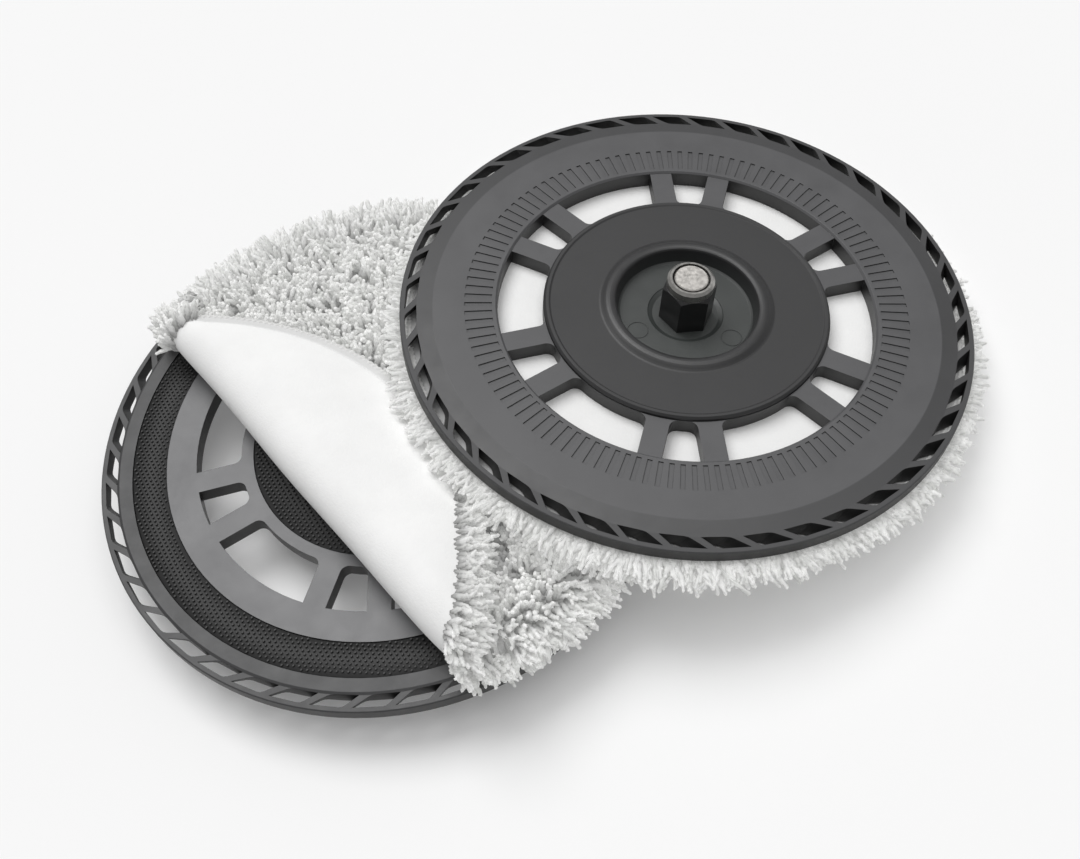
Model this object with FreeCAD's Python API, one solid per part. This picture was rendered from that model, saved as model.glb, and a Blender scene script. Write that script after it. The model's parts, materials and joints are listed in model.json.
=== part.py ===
"""Two round pad drivers for a twin-disc floor scrubber, each with a microfibre pad.

The lower driver lies upside down on the end of its drive stud, with its pad half peeled and
folded back. The upper driver lies drive side up, half across the lower one, its pad still on.
All lengths are millimetres. +Z is up and the origin is the centre of the lower stud's end face.

A driver is drawn in its own frame: the drive side faces +Z, z = 0 is the top of the outer ring
and the spin axis is Z. Both drivers are the same parts, placed twice.
"""
import FreeCAD
import Part
import math
import os

from FreeCAD import Placement, Rotation, Vector

# ---- driving dimensions of one driver ------------------------------------------------------
DISC_R = 115.0            # outer radius of the moulded plate
PLATE_T = 7.5             # ring top to hook plane
STUD_TOP = 16.0           # ring top to the end of the drive stud

HOOP_WALL = 1.9           # rim hoop outside the slots
HOOP_LIFT = 0.5           # the hoop stops this far above the hook plane
HOOP_EDGE = 0.4           # its bevelled edges
SLOT_SPAN = 4.7           # radial length of a rim slot
SLOT_COUNT = 45
SLOT_WIDTH = (5.6, 6.2)   # degrees that a slot takes up at its inner and outer side
SLOT_SLANT = 3.2          # degrees that a slot leans from its inner to its outer side
SLOT_TWIST = -2.3         # degrees that it turns on its way down to the hook side
SLOT_CORNER = 1.5         # cut back of its two blunt corners
SLOT_PHASE = 0.5          # degrees from a spoke pair to the nearest rib
BAND_DROP = 1.2           # how far the outer band slopes down to the hoop
CREASE_R = 101.8          # where that slope starts

GROOVE_COUNT = 120
GROOVE_R = (78.2, 89.2)
GROOVE_DEPTH = 0.5
GROOVE_W = 1.9

OPENING_R = (57.7, 76.0)  # hub side and ring side of the openings
SPOKE_PAIRS = 6
SPOKE_HALF_GAP = 9.5      # degrees from the middle of a pair to each spoke
SPOKE_W = 9.2
SPOKE_DROP = 0.9          # spokes sit this far below the ring top
SPOKE_FILLET = 3.4
RING_CHAMFER = 0.8
WEB_TOP = -3.1            # face that carries the hub flange
WEB_BORE_R = 31.2

HUB_R = 57.4
HUB_TOP = 0.4
HUB_EDGE_RISE = 0.5       # thin raised edge round the hub
HUB_EDGE_INSET = (2.6, 1.9, 0.8)    # foot, top start and top end of that edge, in from the rim
HUB_EDGE_BEVEL = 0.4
LIP_R = (28.6, 35.4)      # inner and outer radius of the rounded lip
LIP_TOP = 2.4
BOWL_FLOOR_R = 26.5
BOWL_FLOOR = -4.6
BOWL_COVE = (0.8, 0.6)    # bevel between the bowl's floor and its wall
POCKET_R = 15.4           # dished pocket round the foot of the stud
POCKET_FOOT_R = 13.4
POCKET_FLOOR = -5.7
POCKET_BEVEL = 0.3
HUB_BOTTOM = -5.9
BOSS_R = 16.2
MARK_R = 4.3              # round moulding marks on the bowl floor
MARK_W = 0.4
MARK_DEPTH = 0.2
MARK_AT = (22.0, (242.0, 358.0))

HEX_FLATS = 19.0
HEX_TURN = 42.0           # degrees from a spoke pair to a corner of the hexagon
HEX_TOP = 11.6
HEX_CONE = 2.0            # height of the cone that trims its corners
SPIGOT_R = 8.0
TENON_R = 7.5
TENON_TOP = 13.0
COLLAR_R = 9.4
COLLAR_TOP = 15.8
COLLAR_CHAMFER = 1.0
MAGNET_R = 6.7
MAGNET_EDGE = 0.4

BOLT_HEAD_R = 10.0
BOLT_HEAD_T = 0.8
CLAMPED_T = 0.9           # hub floor between the stud and the bolt head
BOLT_SHANK_R = 3.0
BOLT_REACH = 6.0
HUB_SCREW_RING = 44.0
HUB_SCREW_COUNT = 6
HUB_SCREW_PHASE = 30.0    # degrees from a spoke pair to the nearest screw
HUB_SCREW_HEAD_R = 2.9
HUB_SCREW_HEAD_T = 1.15
HUB_SCREW_R = 1.5
HUB_SCREW_TOP = -1.0

HOOK_BAND_R = (88.3, 102.0)
HOOK_DISC_R = (16.6, 52.8)
HOOK_GROOVE = 1.6         # depth of the seats for the hook tape
HOOK_TAPE_T = 1.2

GAP = 0.1                 # assembly clearance between separate pieces
SNUG = 0.05               # closer fit of pieces that are pressed or clamped together
FAR = 200.0               # size of construction blocks that reach past everything

# ---- pads ----------------------------------------------------------------------------------
BACKING_R = 113.0
BACKING_T = 2.5
BINDING_W = 2.0
PILE_R = 122.0
PILE_T = 9.7
SOFT_GAP = 0.2
PILE_GAP = 0.5            # the pile stops this far short of the fold
CRUSHED_PILE = 1.9        # upper pile where it lies on the lower pad

# ---- how the pair lies ---------------------------------------------------------------------
LOWER_SPIN = 164.5        # turn of the lower driver about its axis
UPPER_SPIN = -41.6
UPPER_AT = Vector(128.0, 30.5, 37.8)
UPPER_TILT = 8.4          # the upper driver leans down on its far side from the lower one
UPPER_LEAN = 22.0         # compass direction of that lean, from +X towards +Y

FOLD_TURN = 212.75        # direction from the lower axis square to the fold, from +X
FOLD_AT = 28.0            # distance from the lower axis to the fold's own axis
FOLD_R = 12.0             # bend radius of the backing
FLAP_SLOPE = 11.0         # the flap runs down towards its tip
FLAP_SHIFT = 3.0          # the flap lies this far along the fold from true
FLAP_PILE_R = 119.0

HOOK_PLANE = STUD_TOP + PLATE_T
PAD_TOP = HOOK_PLANE + SOFT_GAP + BACKING_T
FOLD_Z = HOOK_PLANE + SOFT_GAP + BACKING_T / 2 + FOLD_R
LOWER_PILE_TOP = FOLD_Z - 0.95


def disc(radius, z0, z1):
    return Part.makeCylinder(radius, z1 - z0, Vector(0, 0, z0))


def ring(r_in, r_out, z0, z1):
    return disc(r_out, z0, z1).cut(disc(r_in, z0 - 1, z1 + 1))


def turned(profile):
    """Solid of revolution about Z from (radius, z) corners."""
    corners = [Vector(r, 0, z) for r, z in profile]
    face = Part.Face(Part.makePolygon(corners + corners[:1]))
    return face.revolve(Vector(0, 0, 0), Vector(0, 0, 1), 360)


def polar(radius, degrees, z=0.0):
    a = math.radians(degrees)
    return Vector(radius * math.cos(a), radius * math.sin(a), z)


def spun(shape, degrees):
    copy = shape.copy()
    copy.rotate(Vector(0, 0, 0), Vector(0, 0, 1), degrees)
    return copy


def around(shape, count, phase=0.0):
    return [spun(shape, phase + 360.0 * i / count) for i in range(count)]


def prism(corners, z0, z1):
    face = Part.Face(Part.makePolygon(corners + corners[:1]))
    return face.extrude(Vector(0, 0, z1 - z0)).translated(Vector(0, 0, z0))


def spoke_angles():
    pitch = 360.0 / SPOKE_PAIRS
    return [i * pitch + side * SPOKE_HALF_GAP for i in range(SPOKE_PAIRS) for side in (-1, 1)]


# ---- pieces of one driver ------------------------------------------------------------------
def rim_slot():
    """One leaf-shaped slot of the rim. Its ends slope through the plate like fan blades."""
    above = 1.0
    return Part.makeLoft([slot_outline(above), slot_outline(-PLATE_T - above)], True, True)


def slot_outline(z):
    """Outline of a rim slot at one height: two sharp corners and two blunt ones."""
    r0 = DISC_R - HOOP_WALL - SLOT_SPAN
    r1 = DISC_R - HOOP_WALL
    half_in, half_out = (width / 2 for width in SLOT_WIDTH)
    lean = SLOT_SLANT / 2
    turn = SLOT_TWIST * -z / PLATE_T
    sharp_in, blunt_out = polar(r0, turn - half_in - lean), polar(r1, turn - half_out + lean)
    sharp_out, blunt_in = polar(r1, turn + half_out + lean), polar(r0, turn + half_in - lean)
    points = [sharp_in, *blunted(blunt_out, sharp_in, sharp_out),
              sharp_out, *blunted(blunt_in, sharp_out, sharp_in)]
    return Part.makePolygon([p + Vector(0, 0, z) for p in points + points[:1]])


def blunted(corner, before, after):
    """Three points that round a corner."""
    start = corner + (before - corner).normalize() * SLOT_CORNER
    end = corner + (after - corner).normalize() * SLOT_CORNER
    return [start, (start + end) * 0.25 + corner * 0.5, end]


def openings():
    """The windows between the spokes, rounded at their hub side."""
    r_hub, r_ring = OPENING_R
    cut = ring(r_hub, r_ring, -PLATE_T - 1, 1)
    spokes = []
    for angle in spoke_angles():
        bar = Part.makeBox(r_ring, SPOKE_W, PLATE_T + 4, Vector(r_hub / 2, -SPOKE_W / 2, -PLATE_T - 2))
        spokes.append(spun(bar, angle))
    windows = []
    for window in cut.cut(Part.makeCompound(spokes)).Solids:
        corners = [e for e in window.Edges if is_upright(e) and radius_of(e) < r_hub + 1]
        windows.append(window.makeFillet(SPOKE_FILLET, corners))
    return windows


def is_upright(edge):
    a, b = edge.Vertexes[0].Point, edge.Vertexes[-1].Point
    return math.hypot(a.x - b.x, a.y - b.y) < 1e-6 and abs(a.z - b.z) > 1


def radius_of(edge):
    p = edge.Vertexes[0].Point
    return math.hypot(p.x, p.y)


def driver_plate():
    slot_r = DISC_R - HOOP_WALL - SLOT_SPAN
    r_hub, r_ring = OPENING_R
    seat_top = -PLATE_T + HOOK_GROOVE
    spoke_top = -SPOKE_DROP
    hoop_bottom = -PLATE_T + HOOP_LIFT
    body = turned([
        (WEB_BORE_R, seat_top), (HOOK_DISC_R[1] + GAP, seat_top), (HOOK_DISC_R[1] + GAP, -PLATE_T),
        (HOOK_BAND_R[0] - GAP, -PLATE_T), (HOOK_BAND_R[0] - GAP, seat_top),
        (HOOK_BAND_R[1] + GAP, seat_top), (HOOK_BAND_R[1] + GAP, -PLATE_T),
        (slot_r - 1.0, -PLATE_T), (slot_r, hoop_bottom),
        (DISC_R - HOOP_EDGE, hoop_bottom), (DISC_R, hoop_bottom + HOOP_EDGE),
        (DISC_R, -BAND_DROP - HOOP_EDGE), (DISC_R - HOOP_EDGE, -BAND_DROP),
        (slot_r, -BAND_DROP), (CREASE_R, 0), (r_ring + RING_CHAMFER, 0),
        (r_ring, -RING_CHAMFER), (r_ring, spoke_top), (r_hub - GAP, spoke_top),
        (r_hub - GAP, WEB_TOP), (WEB_BORE_R, WEB_TOP)])
    slots = around(rim_slot(), SLOT_COUNT, SLOT_PHASE + 180.0 / SLOT_COUNT)
    groove = Part.makeBox(GROOVE_R[1] - GROOVE_R[0], GROOVE_W, 1,
                          Vector(GROOVE_R[0], -GROOVE_W / 2, -GROOVE_DEPTH))
    screw_hole = disc(HUB_SCREW_R + GAP, -PLATE_T, 0).translated(Vector(HUB_SCREW_RING, 0, 0))
    head_top = seat_top + GAP + HUB_SCREW_HEAD_T
    head_seat = disc(HUB_SCREW_HEAD_R + GAP, -PLATE_T, head_top + SNUG)
    head_seat.translate(Vector(HUB_SCREW_RING, 0, 0))
    cutters = openings() + slots + around(groove, GROOVE_COUNT)
    cutters += around(screw_hole.fuse(head_seat), HUB_SCREW_COUNT, HUB_SCREW_PHASE)
    return body.cut(Part.makeCompound(cutters))


def lip_section():
    """Points over the lip: steep on the bowl side, rounded on top, easing down to the flange."""
    r0, r1 = LIP_R
    shape = [(0.0, 0.42), (0.06, 0.74), (0.14, 0.9), (0.25, 0.98), (0.37, 1.0), (0.49, 0.94),
             (0.6, 0.8), (0.7, 0.58), (0.8, 0.34), (0.9, 0.12), (1.0, 0.0)]
    return [(r0 + (r1 - r0) * across, HUB_TOP + (LIP_TOP - HUB_TOP) * up) for across, up in shape]


def hub():
    """Flange, rounded lip and bowl in one dark moulding, with a boss for the stud bolt."""
    flange_bottom = WEB_TOP + GAP
    flange_inner = WEB_BORE_R - GAP
    edge_top = HUB_TOP + HUB_EDGE_RISE
    edge_foot, edge_from, edge_to = (HUB_R - inset for inset in HUB_EDGE_INSET)
    cove_out, cove_up = BOWL_COVE
    body = turned([
        (SPIGOT_R + GAP, POCKET_FLOOR), (POCKET_FOOT_R, POCKET_FLOOR),
        (POCKET_R - POCKET_BEVEL, BOWL_FLOOR - POCKET_BEVEL), (POCKET_R, BOWL_FLOOR),
        (BOWL_FLOOR_R, BOWL_FLOOR), (BOWL_FLOOR_R + cove_out, BOWL_FLOOR + cove_up),
        *lip_section(), (edge_foot, HUB_TOP), (edge_from, edge_top), (edge_to, edge_top),
        (HUB_R, HUB_TOP - HUB_EDGE_BEVEL), (HUB_R, flange_bottom),
        (flange_inner, flange_bottom), (flange_inner, HUB_BOTTOM), (BOSS_R, HUB_BOTTOM),
        (BOSS_R, -PLATE_T), (BOLT_HEAD_R + GAP, -PLATE_T),
        (BOLT_HEAD_R + GAP, POCKET_FLOOR - CLAMPED_T), (SPIGOT_R + GAP, POCKET_FLOOR - CLAMPED_T)])
    radius, angles = MARK_AT
    mark = ring(MARK_R - MARK_W, MARK_R, BOWL_FLOOR - MARK_DEPTH, 0)
    marks = [mark.translated(polar(radius, a)) for a in angles]
    pilot = disc(HUB_SCREW_R, -PLATE_T, HUB_SCREW_TOP + GAP).translated(Vector(HUB_SCREW_RING, 0, 0))
    return body.cut(Part.makeCompound(marks + around(pilot, HUB_SCREW_COUNT, HUB_SCREW_PHASE)))


def hex_stud():
    corner_r = HEX_FLATS / math.sqrt(3)
    corners = [polar(corner_r, 60 * i + HEX_TURN) for i in range(6)]
    post = prism(corners, POCKET_FLOOR, HEX_TOP)
    cone = turned([(0, POCKET_FLOOR), (corner_r + 1, POCKET_FLOOR),
                   (corner_r + 1, HEX_TOP - HEX_CONE), (COLLAR_R, HEX_TOP), (0, HEX_TOP)])
    post = post.common(cone)
    post = post.fuse(disc(SPIGOT_R, POCKET_FLOOR - CLAMPED_T + SNUG, POCKET_FLOOR))
    post = post.fuse(disc(TENON_R, HEX_TOP, TENON_TOP))
    return post.cut(disc(BOLT_SHANK_R, -PLATE_T, BOLT_REACH + GAP)).removeSplitter()


def stud_collar():
    base = HEX_TOP + SNUG
    return turned([(TENON_R + SNUG, base), (COLLAR_R, base), (COLLAR_R, COLLAR_TOP - COLLAR_CHAMFER),
                   (COLLAR_R - COLLAR_CHAMFER, COLLAR_TOP), (TENON_R + SNUG, COLLAR_TOP)])


def magnet():
    base = TENON_TOP + SNUG
    return turned([(0, base), (MAGNET_R, base), (MAGNET_R, STUD_TOP - MAGNET_EDGE),
                   (MAGNET_R - MAGNET_EDGE, STUD_TOP), (0, STUD_TOP)])


def stud_bolt():
    head_top = POCKET_FLOOR - CLAMPED_T - SNUG
    head = disc(BOLT_HEAD_R, head_top - BOLT_HEAD_T, head_top)
    return head.fuse(disc(BOLT_SHANK_R - SNUG, head_top, BOLT_REACH)).removeSplitter()


def hub_screws():
    head_bottom = -PLATE_T + HOOK_GROOVE + GAP
    head_top = head_bottom + HUB_SCREW_HEAD_T
    head = disc(HUB_SCREW_HEAD_R, head_bottom, head_top)
    screw = head.fuse(disc(HUB_SCREW_R - SNUG, head_top, HUB_SCREW_TOP)).removeSplitter()
    screw.translate(Vector(HUB_SCREW_RING, 0, 0))
    return Part.makeCompound(around(screw, HUB_SCREW_COUNT, HUB_SCREW_PHASE))


def hook_tape(radii):
    seat_top = -PLATE_T + HOOK_GROOVE - SNUG
    return ring(radii[0], radii[1], seat_top - HOOK_TAPE_T, seat_top)


# ---- where things lie ----------------------------------------------------------------------
def upper_placement():
    lean = Vector(math.cos(math.radians(UPPER_LEAN)), math.sin(math.radians(UPPER_LEAN)), 0)
    tilt = Rotation(Vector(0, 0, 1).cross(lean), UPPER_TILT)
    return Placement(UPPER_AT, tilt)


def place_upper(shape):
    moved = spun(shape, UPPER_SPIN)
    moved.Placement = upper_placement().multiply(moved.Placement)
    return moved


def place_lower(shape):
    moved = spun(shape, LOWER_SPIN)
    flip = Placement(Vector(0, 0, STUD_TOP), Rotation(Vector(1, 0, 0), 180))
    moved.Placement = flip.multiply(moved.Placement)
    return moved


def in_fold_frame(shape):
    """Turn a shape drawn with +X square to the fold and +Z up into the row's frame."""
    return spun(shape, FOLD_TURN)


def fold_side(keep_from, keep_to):
    """A tall block over fold-frame x = keep_from to keep_to."""
    return Part.makeBox(keep_to - keep_from, 2 * FAR, 2 * FAR, Vector(keep_from, -FAR, -FAR))


def under_upper(h):
    """Everything above the upper disc's plane at height h, out to just past its pad."""
    block = disc(PILE_R + 2, h, FAR)
    block.Placement = upper_placement()
    return block


# ---- lower pad, still attached -------------------------------------------------------------
def lower_pad_backing():
    z0 = HOOK_PLANE + SOFT_GAP
    flat = disc(BACKING_R, z0, z0 + BACKING_T).common(fold_side(-FAR, FOLD_AT))
    inner = FOLD_R - BACKING_T / 2
    outer = FOLD_R + BACKING_T / 2
    length = 2 * BACKING_R
    along = Vector(0, 1, 0)
    roll = Part.makeCylinder(outer, length, Vector(), along)
    roll = roll.cut(Part.makeCylinder(inner, length, Vector(), along))
    roll = roll.common(Part.makeBox(outer + 1, length, outer + 1, Vector(0, 0, -outer - 1)))
    roll = roll.translated(Vector(FOLD_AT, -length / 2, FOLD_Z))
    roll = roll.common(disc(BACKING_R, 0, FAR))
    return in_fold_frame(flat.fuse(roll).removeSplitter())


def lower_pad_binding():
    z0 = HOOK_PLANE + SOFT_GAP
    edge = ring(BACKING_R + GAP, BACKING_R + BINDING_W, z0, z0 + BACKING_T)
    return in_fold_frame(edge.common(fold_side(-FAR, FOLD_AT)))


def lower_pad_pile():
    z0 = PAD_TOP + SOFT_GAP
    pile = disc(PILE_R, z0, LOWER_PILE_TOP).common(fold_side(-FAR, FOLD_AT - PILE_GAP))
    contact = -PLATE_T - SOFT_GAP - BACKING_T - SOFT_GAP - CRUSHED_PILE - SOFT_GAP
    return in_fold_frame(pile).cut(under_upper(contact))


# ---- lower pad, folded back ----------------------------------------------------------------
def flap_centre():
    """Centre of the turned-over part of the round pad, in the fold frame."""
    return Vector(2 * FOLD_AT + math.pi * FOLD_R, FLAP_SHIFT, 0)


def flap_layer(outline, below, above):
    """Part of a vertical outline between two heights above the flap's sloping middle plane."""
    slab = Part.makeBox(FAR, 2 * FAR, above - below, Vector(-FAR, -FAR, below))
    slab.rotate(Vector(0, 0, 0), Vector(0, 1, 0), -FLAP_SLOPE)
    slab.translate(Vector(FOLD_AT, 0, FOLD_Z + FOLD_R))
    return outline.common(slab)


def flap_backing():
    outline = disc(BACKING_R, 0, FAR).translated(flap_centre())
    return in_fold_frame(flap_layer(outline, -BACKING_T / 2, BACKING_T / 2))


def flap_binding():
    outline = ring(BACKING_R + GAP, BACKING_R + BINDING_W, 0, FAR).translated(flap_centre())
    return in_fold_frame(flap_layer(outline, -BACKING_T / 2, BACKING_T / 2))


def flap_pile(grow=0.0, top=-BACKING_T / 2 - SOFT_GAP):
    outline = disc(FLAP_PILE_R + grow, LOWER_PILE_TOP + SOFT_GAP - grow, FAR).translated(flap_centre())
    return in_fold_frame(flap_layer(outline.common(fold_side(-FAR, FOLD_AT - PILE_GAP)), -FAR, top))


# ---- upper pad -----------------------------------------------------------------------------
def upper_pad_backing():
    z1 = -PLATE_T - SOFT_GAP
    return place_upper(disc(BACKING_R, z1 - BACKING_T, z1))


def upper_pad_binding():
    z1 = -PLATE_T - SOFT_GAP
    return place_upper(ring(BACKING_R + GAP, BACKING_R + BINDING_W, z1 - BACKING_T, z1))


def upper_pad_pile():
    """The pile, pressed flat where it lies on the lower pad and on the flap."""
    z1 = -PLATE_T - 2 * SOFT_GAP - BACKING_T
    pile = place_upper(disc(PILE_R, z1 - PILE_T, z1))
    lower = in_fold_frame(disc(PILE_R + SOFT_GAP, 0, LOWER_PILE_TOP + SOFT_GAP)
                          .common(fold_side(-FAR, FOLD_AT)))
    lower = lower.cut(under_upper(z1 - CRUSHED_PILE))
    return pile.cut(lower).cut(flap_pile(SOFT_GAP, BACKING_T / 2 + SOFT_GAP))


DRIVER = {
    "driver_plate": driver_plate, "hub": hub, "hex_stud": hex_stud, "stud_collar": stud_collar,
    "magnet": magnet, "stud_bolt": stud_bolt, "hub_screws": hub_screws,
    "outer_hook_band": lambda: hook_tape(HOOK_BAND_R),
    "inner_hook_disc": lambda: hook_tape(HOOK_DISC_R),
}
PADS = [lower_pad_backing, lower_pad_binding, lower_pad_pile, flap_backing, flap_binding,
        flap_pile, upper_pad_backing, upper_pad_binding, upper_pad_pile]


def write(name, shape):
    os.makedirs("parts", exist_ok=True)
    shape.exportStep("parts/%s.step" % name)
    print("%-24s solids %2d volume %10.1f valid %s"
          % (name, len(shape.Solids), shape.Volume, shape.isValid()))


for piece, make in DRIVER.items():
    drawn = make()
    write("lower_" + piece, place_lower(drawn))
    write("upper_" + piece, place_upper(drawn))
for make in PADS:
    write(make.__name__, make())
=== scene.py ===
"""Looks for a pair of round pad drivers: moulded plates, drive studs, hook tape and shaggy microfibre pads.

Everything is in metres in the row's frame.
"""
import json
import math

import bpy
import numpy as np
from mathutils import Matrix, Vector


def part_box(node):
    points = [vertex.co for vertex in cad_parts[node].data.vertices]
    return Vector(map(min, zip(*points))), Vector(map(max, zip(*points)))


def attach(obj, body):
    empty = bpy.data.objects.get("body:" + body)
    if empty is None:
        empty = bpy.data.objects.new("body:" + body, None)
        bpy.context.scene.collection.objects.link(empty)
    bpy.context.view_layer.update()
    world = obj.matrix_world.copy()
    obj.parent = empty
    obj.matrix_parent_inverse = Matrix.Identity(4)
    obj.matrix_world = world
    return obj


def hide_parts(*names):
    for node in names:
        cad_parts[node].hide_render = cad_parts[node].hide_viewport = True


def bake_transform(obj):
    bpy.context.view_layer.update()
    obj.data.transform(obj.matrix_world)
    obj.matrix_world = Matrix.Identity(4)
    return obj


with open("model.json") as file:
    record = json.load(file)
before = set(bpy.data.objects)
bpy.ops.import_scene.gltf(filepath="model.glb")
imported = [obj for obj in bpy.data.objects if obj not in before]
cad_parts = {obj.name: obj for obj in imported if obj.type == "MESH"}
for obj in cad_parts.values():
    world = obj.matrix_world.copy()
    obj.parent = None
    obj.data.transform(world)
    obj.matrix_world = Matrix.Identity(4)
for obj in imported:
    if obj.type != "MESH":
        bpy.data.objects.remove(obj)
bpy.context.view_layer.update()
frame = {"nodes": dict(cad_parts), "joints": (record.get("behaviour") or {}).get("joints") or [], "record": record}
MM = 0.001
SEED = 20

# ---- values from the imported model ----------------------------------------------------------
plate_lo, plate_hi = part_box("lower_driver_plate")
DISC_R = (plate_hi[1] - plate_lo[1]) / 2
PLATE_T = plate_hi[2] - plate_lo[2]
STUD_TOP = plate_lo[2]
HOOK_Z = plate_hi[2]
bind_lo, bind_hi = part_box("lower_pad_binding")
PAD_UNDER = bind_lo[2]
PAD_TOP = bind_hi[2]
BACKING_T = PAD_TOP - PAD_UNDER
BIND_R = -bind_lo[1]
BACKING_R = -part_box("lower_pad_backing")[0][1]
band_lo, band_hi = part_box("lower_outer_hook_band")
disc_lo, disc_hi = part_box("lower_inner_hook_disc")
HOOK_BAND_R = (88.3 * MM, (band_hi[1] - band_lo[1]) / 2)     # a box doesn't hold the inner radius
HOOK_DISC_R = (16.6 * MM, (disc_hi[1] - disc_lo[1]) / 2)
HOOK_TAPE_Z = band_hi[2]
HOOK_TAPE_T = HOOK_TAPE_Z - band_lo[2]


def joint(name):
    return next(j for j in frame["joints"] if j["name"] == name)


def mount(name):
    return next(m for m in frame["record"]["mounts"] if m["name"] == name)


fold = joint("flap_peel")
FOLD_ALONG = np.array(fold["axis"], float)
FOLD_POINT = np.array(fold["pos_m"], float)
FOLD_OUT = np.array([FOLD_POINT[0], FOLD_POINT[1], 0.0])
FOLD_AT = float(np.linalg.norm(FOLD_OUT))
FOLD_OUT = FOLD_OUT / FOLD_AT
FOLD_Z = float(FOLD_POINT[2])
FOLD_R = FOLD_Z - (PAD_TOP + PAD_UNDER) / 2
FLAP_SLOPE = math.radians(11.0)      # the flap slopes down from its fold
FLAP_SHIFT = 3.0 * MM                # and is drawn a little along it

UPPER_AXIS = Vector(mount("upper_stud_end")["axis"]).normalized()
UPPER_AT = Vector(mount("upper_stud_end")["pos_m"]) - UPPER_AXIS * STUD_TOP
UPPER_TURN = np.array(Vector((0, 0, 1)).rotation_difference(UPPER_AXIS).to_matrix())
UPPER_ORIGIN = np.array(UPPER_AT)
BACK_UNDER = -PLATE_T - (PAD_TOP - HOOK_Z)      # underside of the upper backing, in its driver's frame


# ---- maps between frames -------------------------------------------------------------------
def from_upper(points):
    """Upper driver's frame to the row's frame."""
    return points @ UPPER_TURN.T + UPPER_ORIGIN


def to_upper(points):
    return (points - UPPER_ORIGIN) @ UPPER_TURN


def fold_out(points):
    return points @ FOLD_OUT


def fold_along(points):
    return points @ FOLD_ALONG


def from_fold(out, along, z):
    """Distance out towards the fold, distance along it and height, to the row's frame."""
    out, along, z = np.broadcast_arrays(out, along, z)
    points = out[..., None] * FOLD_OUT + along[..., None] * FOLD_ALONG
    points[..., 2] = z
    return points


ROLL_TURN = math.pi + FLAP_SLOPE
ROLL_LENGTH = FOLD_R * ROLL_TURN
ROLL_END = FOLD_AT + ROLL_LENGTH
NEAR_PULL = 7 * MM
NEAR_PULL_FROM = 50 * MM
NEAR_PULL_WHOLE = 105 * MM


def near_pull(past, y):
    """The flap's near corner is pulled out along the fold."""
    reach = np.clip((y - NEAR_PULL_FROM) / (NEAR_PULL_WHOLE - NEAR_PULL_FROM), 0, 1)
    return NEAR_PULL * reach ** 2 * (3 - 2 * reach) * np.clip(past / ROLL_LENGTH, 0, 1)


def pad_point(x, y, lift):
    """Where a point of the lower pad lies. x and y are measured on the pad as if it lay flat, x towards the
    fold; lift is the distance from the cloth's middle towards the hook side."""
    x, y, lift = np.broadcast_arrays(x, y, lift)
    past = x - FOLD_AT
    turn = np.clip(past / FOLD_R, 0, ROLL_TURN)
    straight = np.minimum(past, 0) + np.maximum(past - ROLL_LENGTH, 0)
    out = FOLD_AT + (FOLD_R + lift) * np.sin(turn) + straight * np.cos(turn)
    z = FOLD_Z - (FOLD_R + lift) * np.cos(turn) + straight * np.sin(turn)
    return from_fold(out, y + FLAP_SHIFT * np.clip(past / ROLL_LENGTH, 0, 1) + near_pull(past, y), z)


def pad_axes(x, y, lift):
    """Unit vectors on the pad there: along x, along y and out of the pile side."""
    step = 0.2 * MM
    ahead = unit(pad_point(x + step, y, lift) - pad_point(x - step, y, lift))
    along = unit(pad_point(x, y + step, lift) - pad_point(x, y - step, lift))
    return ahead, along, unit(np.cross(ahead, along))


def unit(v):
    return v / np.maximum(np.linalg.norm(v, axis=-1, keepdims=True), 1e-12)


# ---- surfaces that the pads press on -------------------------------------------------------
OPEN_SKY = 1.0      # a height that nothing reaches


def upper_under(points):
    """Height of the upper backing's underside over or under each point."""
    axis = np.array(UPPER_AXIS)
    level = UPPER_ORIGIN + axis * BACK_UNDER
    return level[2] - ((points[..., :2] - level[:2]) @ axis[:2]) / axis[2]


def flap_mid(points):
    """Height of the folded-back flap's middle plane."""
    return FOLD_Z + FOLD_R / math.cos(FLAP_SLOPE) + (fold_out(points) - FOLD_AT) * math.tan(FLAP_SLOPE)


def flap_reach(points):
    """Distance of the flap's cloth over each point from the pad's centre, measured on the cloth."""
    roll_end = FOLD_AT - FOLD_R * math.sin(FLAP_SLOPE)
    x = FOLD_AT + ROLL_LENGTH + (roll_end - fold_out(points)) / math.cos(FLAP_SLOPE)
    y = fold_along(points) - FLAP_SHIFT
    return np.hypot(x, y - near_pull(ROLL_LENGTH, y - NEAR_PULL / 2))


def lower_ceiling(points):
    """Highest that the lower pad's pile can stand."""
    under_flap = (flap_reach(points) < BIND_R) & (fold_out(points) < FOLD_AT)
    top = np.where(under_flap, (PAD_TOP + flap_mid(points) - BACKING_T / 2) / 2, OPEN_SKY)
    under_upper = np.linalg.norm(to_upper(points)[..., :2], axis=-1) < BIND_R
    return np.where(under_upper, np.minimum(top, (PAD_TOP + upper_under(points)) / 2), top)


def upper_floor(points):
    """Lowest that the upper pad's pile can hang."""
    on_lower = (np.hypot(points[..., 0], points[..., 1]) < BIND_R) & (fold_out(points) < FOLD_AT)
    floor = np.where(on_lower, (PAD_TOP + upper_under(points)) / 2, 0.0)
    on_flap = (flap_reach(points) < BIND_R) & (fold_out(points) < FOLD_AT)
    return np.where(on_flap, np.maximum(floor, flap_mid(points) + BACKING_T / 2), floor)


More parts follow.
